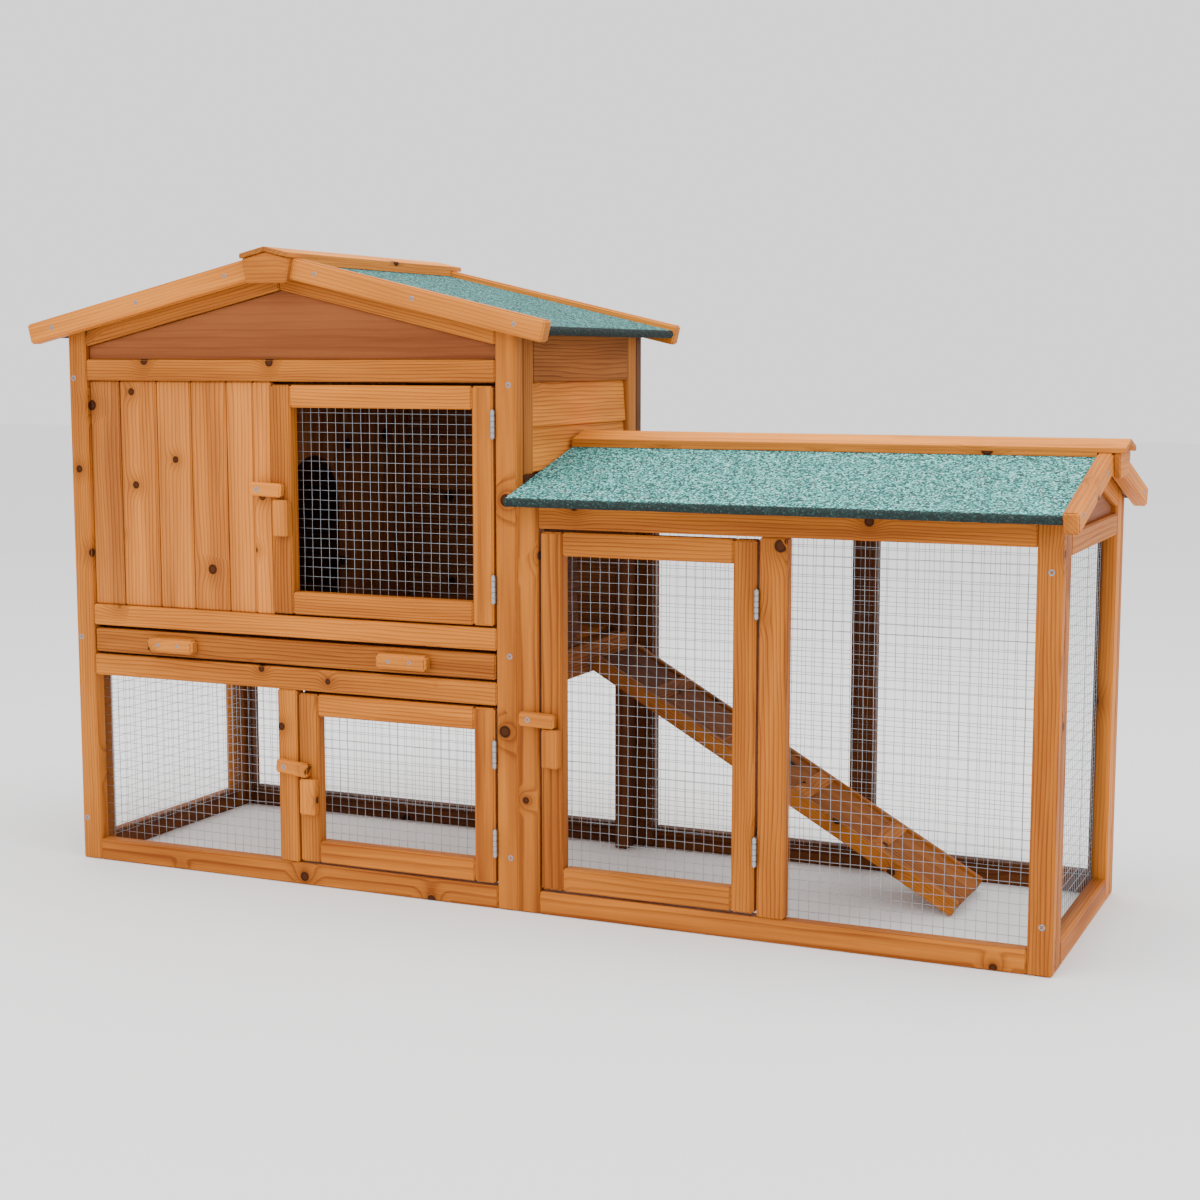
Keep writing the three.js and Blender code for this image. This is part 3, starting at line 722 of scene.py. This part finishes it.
def screws():
    """The screws of the posts, front and back, and of the barge boards."""
    heads = Piece("hutch_screws", "hutch", "zinc", material=SCREW)
    barge_head, main_drop, run_drop = 3.2 * MM, 14, 13
    spots = ((8, 690), (8, 323), (8, 59), (691, 684), (691, 336), (691, 70), (1382, 475), (1382, 59))
    for x, z in spots:
        add_screw(heads, place(x, 0, z), -Y)
        add_screw(heads, place(x, DEPTH, z), Y)
    for side in (-1, 1):
        for out in (70, 215, 360):
            x = MAIN.middle + side * out
            z = MAIN.top(x) - main_drop
            add_screw(heads, place(x, measured("main_barge_front_left")[0].y, z), -Y, barge_head)
            add_screw(heads, place(x, measured("main_barge_back_left")[1].y, z), Y, barge_head)
            if out < LEAN.half:
                y = LEAN.middle + side * out
                z = LEAN.top(y) - run_drop
                add_screw(heads, place(measured("run_barge_front")[1].x, y, z), X, barge_head)
    heads.finish()


# ---- doors, hinges, turn buttons ---------------------------------------------------------------
DOORS = ("upper", "lower", "run")
BUTTON_TILT = {"upper": -2.0, "lower": -6.0, "run": -2.0}


def door(name):
    """A door's frame and the block that stops its turn button."""
    low, high = measured(f"{name}_door_frame")
    body = f"{name}_door"
    piece = Piece(f"{name}_door_sticks", body, "frame", f"{name}_door_frame")
    for start in (low.x, high.x - POST):
        piece.board((start, start + POST), (low.y, high.y), (low.z, high.z), bevel=2.2 * MM)
    across = (low.x + POST + 0.2, high.x - POST - 0.2)
    for start in (low.z, high.z - POST):
        piece.board(across, (low.y + 0.4, high.y), (start, start + POST), bevel=1.8 * MM)
    piece.finish()

    low, high = measured(f"{name}_button_stop")
    stop = Piece(f"{name}_stop_block", body, "trim", f"{name}_button_stop")
    stop.board((low.x, high.x), (low.y, high.y - 0.2), (low.z, high.z), bevel=1.6 * MM)
    stop.finish()


def turn_button(name):
    """A wooden turn button at its resting tilt, in degrees, with the screw that it turns on."""
    joint = next(j for j in frame["joints"] if j["name"] == f"{name}_button_pivot")
    pivot = Vector(joint["pos_m"])
    low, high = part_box(f"{name}_turn_button")
    tilt = Matrix.Rotation(-math.radians(BUTTON_TILT[name]), 4, "Y")
    at_pivot = Matrix.Translation(Vector((pivot.x, 0, pivot.z))) @ tilt
    body = f"{name}_button"
    piece = Piece(f"{name}_turn_button_wood", body, "trim", f"{name}_turn_button", transform=at_pivot)
    start, end, half = -13 * MM, 37 * MM, 9 * MM
    outline = [Vector((a, low.y, b)) for a, b in ((start, -half), (end, -half), (end, half), (start, half))]
    piece.prism(outline, Y * (high.y - low.y), X, 2.0 * MM, 1.05)
    piece.finish()
    head = Piece(f"{name}_button_screw", body, "zinc", material=SCREW)
    add_screw(head, Vector((pivot.x, low.y, pivot.z)), -Y, 3.6 * MM)
    head.finish()


def add_barrel(piece, at, z, radius):
    """A short upright cylinder with eased ends, between two heights."""
    sides, ease = 20, radius * 0.18
    rings = [(radius - ease, z[0]), (radius, z[0] + ease), (radius, z[1] - ease), (radius - ease, z[1])]
    points = [at + Z * z[0], at + Z * z[1]]
    for r, h in rings:
        for k in range(sides):
            turn = 2 * math.pi * k / sides
            points.append(at + Vector((r * math.cos(turn), r * math.sin(turn), h)))
    faces = []
    last = 2 + (len(rings) - 1) * sides
    for k in range(sides):
        after = (k + 1) % sides
        faces.append([0, 2 + after, 2 + k])
        faces.append([1, last + k, last + after])
        for n in range(len(rings) - 1):
            a, b = 2 + n * sides + k, 2 + n * sides + after
            faces.append([a, b, b + sides, a + sides])
    piece.take(points, faces, Z)


def hinge(name, which):
    """A butt hinge: frame leaf, door leaf, five knuckles and a pin with a head at each end."""
    node = f"{name}_hinge_{which}"
    joint = next(j for j in frame["joints"] if j["name"] == f"{name}_door_hinge")
    axis = Vector((joint["pos_m"][0], joint["pos_m"][1], 0))
    low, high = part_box(node)
    knuckle_radius, head_radius, count = 2.9 * MM, 1.7 * MM, 5
    inset = 1 * MM
    fixed = Piece(node + "_frame_leaf", "hutch", "zinc", node)
    moving = Piece(node + "_door_leaf", f"{name}_door", "zinc")
    height = high.z - low.z - 2 * inset
    knuckle, slit = height / count, 0.12 * MM
    for n in range(count):
        start = low.z + inset + n * knuckle
        owner = moving if n % 2 else fixed
        add_barrel(owner, axis, (start + slit, start + knuckle - slit), knuckle_radius)
    add_barrel(fixed, axis, (low.z + 0.1 * MM, high.z - 0.1 * MM), head_radius)
    for piece, side in ((fixed, 1), (moving, -1)):
        near, far = axis.x + side * 0.6 * MM, axis.x + side * 1.7 * MM
        outline = [Vector((x, axis.y, low.z + inset)) for x in (near, far)]
        outline += [Vector((x, high.y, low.z + inset)) for x in (far, near)]
        piece.prism(outline, Z * height, Z, 0.2 * MM)
        piece.finish()


# ---- tray and ramp -----------------------------------------------------------------------------
def tray():
    """The tray's front board, pan, handles and the runners under it."""
    low, high = measured("tray_front")
    face = Piece("tray_front_board", "tray", "frame", "tray_front")
    face.board((low.x, high.x), (low.y + 1.0, high.y), (low.z, high.z), bevel=1.8 * MM, tone=0.90)
    face.finish()
    low, high = measured("tray_pan")
    pan = Piece("tray_pan_boards", "tray", "boards", "tray_pan")
    wall, base = 8, 6
    pan.board((low.x, high.x), (low.y, high.y), (low.z, low.z + base), bevel=0.6 * MM, tone=0.6)
    rim = (low.z + base + 0.2, high.z)
    for start in (low.x, high.x - wall):
        pan.board((start, start + wall), (low.y, high.y), rim, bevel=0.8 * MM, tone=0.7)
    for start in (low.y, high.y - wall):
        between = (low.x + wall + 0.2, high.x - wall - 0.2)
        pan.board(between, (start, start + wall), rim, bevel=0.8 * MM, tone=0.7)
    pan.finish()
    for side in ("left", "right"):
        low, high = measured(f"tray_handle_{side}")
        grip = Piece(f"tray_{side}_handle_wood", "tray", "trim", f"tray_handle_{side}")
        grip.board((low.x, high.x), (low.y, high.y + 1.2), (low.z, high.z), bevel=3.2 * MM, tone=0.97)
        grip.finish()
        heads = Piece(f"tray_{side}_handle_screws", "tray", "zinc", material=SCREW)
        for x in (low.x + 20, high.x - 24):
            add_screw(heads, place(x, low.y, (low.z + high.z) / 2 + 1), -Y, 2.6 * MM)
        heads.finish()
        low, high = measured(f"tray_runner_{side}")
        runner = Piece(f"tray_{side}_runner_wood", "hutch", "frame", f"tray_runner_{side}")
        runner.board((low.x, high.x), (low.y, high.y), (low.z, high.z), tone=0.5)
        runner.finish()


def ramp():
    """Plank, cleats and two side rails, built flat and laid at the ramp's slope."""
    slope = math.radians(29.8)
    foot_x, foot_y, doorway_gap = 1224.5, 202, 12
    laid = Matrix.Translation(place(foot_x, foot_y, 0.3)) @ Matrix.Rotation(slope, 4, "Y")
    length = (foot_x - HOUSE - doorway_gap) / math.cos(slope) * MM
    width, side, rail_height = 142 * MM, 10 * MM, 21 * MM
    plank_low, plank_top, cleat_top, cleat = 9 * MM, 17 * MM, 20.5 * MM, 24 * MM

    def lath(piece, x, y, z, along, tone):
        outline = [Vector((x[0], y[0], z[0])), Vector((x[1], y[0], z[0])),
                   Vector((x[1], y[1], z[0])), Vector((x[0], y[1], z[0]))]
        piece.prism(outline, Z * (z[1] - z[0]), along, 1.2 * MM, tone)

    def painted_shade_uphill(foot_tone, fall):
        """A tone of painted shade, darkest at the top of the ramp, where the doorway is."""
        return lambda p, _: foot_tone * (1 + fall * p.x / length)

    for name, start in (("front", 0.0), ("back", width - side)):
        rail = Piece(f"ramp_{name}_rail_wood", "hutch", "frame", f"ramp_rail_{name}", transform=laid)
        lath(rail, (-length, 0), (start, start + side), (0, rail_height), X, painted_shade_uphill(0.78, 0.5))
        rail.finish()
    plank = Piece("ramp_plank", "hutch", "boards", "ramp_board", transform=laid)
    inner = (side + 0.4 * MM, width - side - 0.4 * MM)
    lath(plank, (-length, 0), inner, (plank_low, plank_top), X, painted_shade_uphill(0.78, 0.75))
    # the cleats are lifted to 1.1 at the foot as painted light, and take the same painted shade uphill
    for out in (120 * MM, 240 * MM, 360 * MM, 480 * MM):
        lath(plank, (-out - cleat, -out), inner, (plank_top, cleat_top), Y, painted_shade_uphill(1.1, 0.75))
    plank.finish()


# ---- roofs -------------------------------------------------------------------------------------
def felt_board(node, roof, side):
    """A deck with felt on top that wraps round the eave."""
    start, end = roof.span(node)
    lift, outer = 0.4, roof.half - 0.4
    lean = math.atan(roof.slope)
    skin, nose, turned_under, grid = 2.6, 5.9, 18, 7

    def at(out, down, along):
        """A point out along the slope from the ridge, down from the felt's top face."""
        across = roof.middle + side * (out * math.cos(lean) - down * math.sin(lean))
        height = roof.ridge - out * math.sin(lean) - down * math.cos(lean)
        return place(across, along, height) if roof.along == Y else place(along, across, height)

    # the felt's section: down the slope, round the nose, back under it. Each point is out, down and bareness,
    # which draws bare bitumen under the eave and painted shade on the rounded nose.
    slope_length = outer / math.cos(lean)
    end_out = slope_length - nose
    flat_steps = max(8, int(slope_length / grid))
    shell = [(lift + (end_out - lift) * i / flat_steps, 0.0, 0.0 if i < flat_steps else 0.9)
             for i in range(flat_steps + 1)]
    bend_steps = 7
    for i in range(1, bend_steps + 1):
        turn = math.pi * i / bend_steps
        shell.append((end_out + nose * math.sin(turn), nose - nose * math.cos(turn), 1.0))
    shell.append((end_out - turned_under, 2 * nose, 1.0))
    back = [(end_out - turned_under, 2 * nose - skin, 1.0), (end_out - 2, 2 * nose - skin, 1.0),
            (end_out - 2, skin, 1.0), (lift, skin, 1.0)]
    loop = shell + back
    steps = max(8, int((end - start) / grid))
    piece = Piece(node + "_felt", "hutch", "felt", node)
    points, faces, marks = [], [], []
    for i in range(steps + 1):
        along = start + 0.4 + (end - start - 0.8) * i / steps
        for j, (out, down, _) in enumerate(loop):
            dent = max(0.0, draw.uniform(-0.28, 0.28)) if 0 < j < len(shell) - 1 else 0.0
            ragged = draw.uniform(0, 0.9) if flat_steps < j < len(shell) - 1 else 0.0
            points.append(at(out - ragged, down + dent, along))
    size = len(loop)
    for i in range(steps):
        for j in range(size):
            a, b = i * size + j, i * size + (j + 1) % size
            faces.append([a, b, b + size, a + size])
            marks.append(loop[j][2])
    faces += [list(range(size))[::-1], [steps * size + j for j in range(size)]]
    marks += [1.0, 1.0]
    piece.take(points, faces, roof.along, roof.painted_felt_shade, edges=marks)
    made = piece.finish()
    skin_mesh = bmesh.new()
    skin_mesh.from_mesh(made.data)
    bmesh.ops.recalc_face_normals(skin_mesh, faces=skin_mesh.faces)
    skin_mesh.to_mesh(made.data)
    skin_mesh.free()

    deck = Piece(node + "_deck", "hutch", "plywood")
    outline = [at(o, d, start + 1) for o, d in
               ((lift, skin + 0.3), (end_out - 3, skin + 0.3), (end_out - 3, 2 * nose - skin - 0.3),
                (end_out - turned_under - 1, 2 * nose - skin - 0.3), (end_out - turned_under - 1, roof.board),
                (lift, roof.board))]
    deck.prism(outline, roof.along * (end - start - 2) * MM, roof.along, 0.3 * MM, 0.75)
    deck.finish()


def barge(node, roof, side):
    """A sloped board that covers a roof's cut end."""
    piece = Piece(node + "_wood", "hutch", "trim", node)
    inner, tip = roof.middle + side * 0.4, roof.middle + side * (roof.half + 1.8)
    foot = tip - side * roof.barge * roof.slope
    outline = [(inner, roof.top(inner)), (tip, roof.top(tip)), (foot, roof.top(foot) - roof.barge),
               (inner, roof.top(inner) - roof.barge)]
    piece.gable(roof, outline, roof.span(node), roof.across - Z * side * roof.slope, bevel=2.2 * MM)
    piece.finish()


def cap_and_finials(cap, finials, roof, felted):
    """Two boards along a ridge, packed down to the felt of the node felted, and shields at the ends."""
    piece = Piece(cap + "_boards", "hutch", "trim", cap)
    half, thick, lip_width = 38.0, 6.2, 9

    # painted light and shade: the cap boards' tops are drawn lighter, their other faces darker
    def painted_top_light(_, normal):
        return 1.25 if normal.z > 0.8 else 0.85

    for side in (-1, 1):
        inner, outer = roof.middle + side * 0.15, roof.middle + side * half
        base = [(at, roof.top(at) + 0.3) for at in (inner, outer)]
        over = [(at, roof.top(at) + 0.3 + thick) for at in (outer, inner)]
        piece.gable(roof, base + over, roof.span(cap), roof.along, bevel=0.5 * MM, tone=painted_top_light)
        lip = outer - side * lip_width
        under = [(at, roof.felt(at) + 0.5) for at in (lip, outer)]
        over = [(at, roof.top(at) + 0.6) for at in (outer, lip)]
        piece.gable(roof, under + over, roof.span(felted), roof.along, bevel=0.3 * MM, tone=0.9)
    piece.finish()

    peak, eave = roof.top(roof.middle), roof.top(roof.middle + half)
    foot, foot_half, rim_half = peak - 40.7, 31, half - 0.6
    outline = [(roof.middle - foot_half, foot), (roof.middle + foot_half, foot),
               (roof.middle + rim_half, eave - 0.3), (roof.middle, peak - 0.3),
               (roof.middle - rim_half, eave - 0.3)]
    for node in finials:
        shield = Piece(node + "_wood", "hutch", "trim", node)
        shield.gable(roof, outline, roof.span(node), roof.across, bevel=1.4 * MM, tone=1.06)
        shield.finish()


def roofs():
    """Both roofs: felted boards, barge boards, ridge caps and finials."""
    for name, side in (("left", -1), ("right", 1)):
        felt_board(f"main_roof_{name}", MAIN, side)
        barge(f"main_barge_front_{name}", MAIN, side)
        barge(f"main_barge_back_{name}", MAIN, side)
    for name, side in (("front", -1), ("back", 1)):
        felt_board(f"run_roof_{name}", LEAN, side)
        barge(f"run_barge_{name}", LEAN, side)
    cap_and_finials("main_ridge_cap", ("main_finial_front", "main_finial_back"), MAIN, "main_roof_left")
    cap_and_finials("run_ridge_cap", ("run_finial",), LEAN, "run_roof_front")


# ---- studio ------------------------------------------------------------------------------------
def studio():
    """A pale floor, a white sky and three soft lights."""
    bpy.ops.mesh.primitive_plane_add(size=30, location=(0, 0, -0.0005))
    floor = bpy.context.object
    floor.name = "studio_floor"
    floor.data.materials.append(floor_material())

    world = bpy.data.worlds.new("studio")
    world.use_nodes = True
    world.node_tree.nodes["Background"].inputs["Color"].default_value = (1.0, 1.0, 1.0, 1.0)
    world.node_tree.nodes["Background"].inputs["Strength"].default_value = 1.45
    bpy.context.scene.world = world

    def panel(name, at, size, power):
        light = bpy.data.lights.new(name, "AREA")
        light.shape = "RECTANGLE"
        light.size, light.size_y = size
        light.energy = power
        lamp = bpy.data.objects.new(name, light)
        lamp.location = at
        aim = Vector((0.0, 0.0, 0.4)) - lamp.location
        lamp.rotation_euler = aim.to_track_quat("-Z", "Y").to_euler()
        bpy.context.scene.collection.objects.link(lamp)

    panel("key", Vector((-0.9, -3.2, 2.6)), (2.4, 1.8), 38)
    panel("top", Vector((0.3, -0.3, 3.4)), (3.0, 2.4), 95)
    panel("side", Vector((3.2, -0.9, 1.5)), (1.8, 1.8), 20)


def camera():
    """The photograph's viewpoint."""
    yaw, pitch = 0.4186, 0.1214
    forward = Vector((-math.sin(yaw) * math.cos(pitch), math.cos(yaw) * math.cos(pitch), -math.sin(pitch)))
    right = Vector((math.cos(yaw), math.sin(yaw), 0))
    up = right.cross(forward)
    turn = Matrix((right, up, -forward)).transposed().to_4x4()
    lens = bpy.data.cameras.new("photo_camera")
    lens.sensor_width = 36
    lens.lens = 59.3
    view = bpy.data.objects.new("photo_camera", lens)
    view.matrix_world = Matrix.Translation(place(1822.1, -2255.8, 717.0)) @ turn
    bpy.context.scene.collection.objects.link(view)
    bpy.context.scene.camera = view


house_front()
house_back()
house_left()
house_right()
partition()
run_frames()
wire_panels()
screws()
for name in DOORS:
    door(name)
    turn_button(name)
    hinge(name, "lower")
    hinge(name, "upper")
tray()
ramp()
roofs()
studio()
camera()
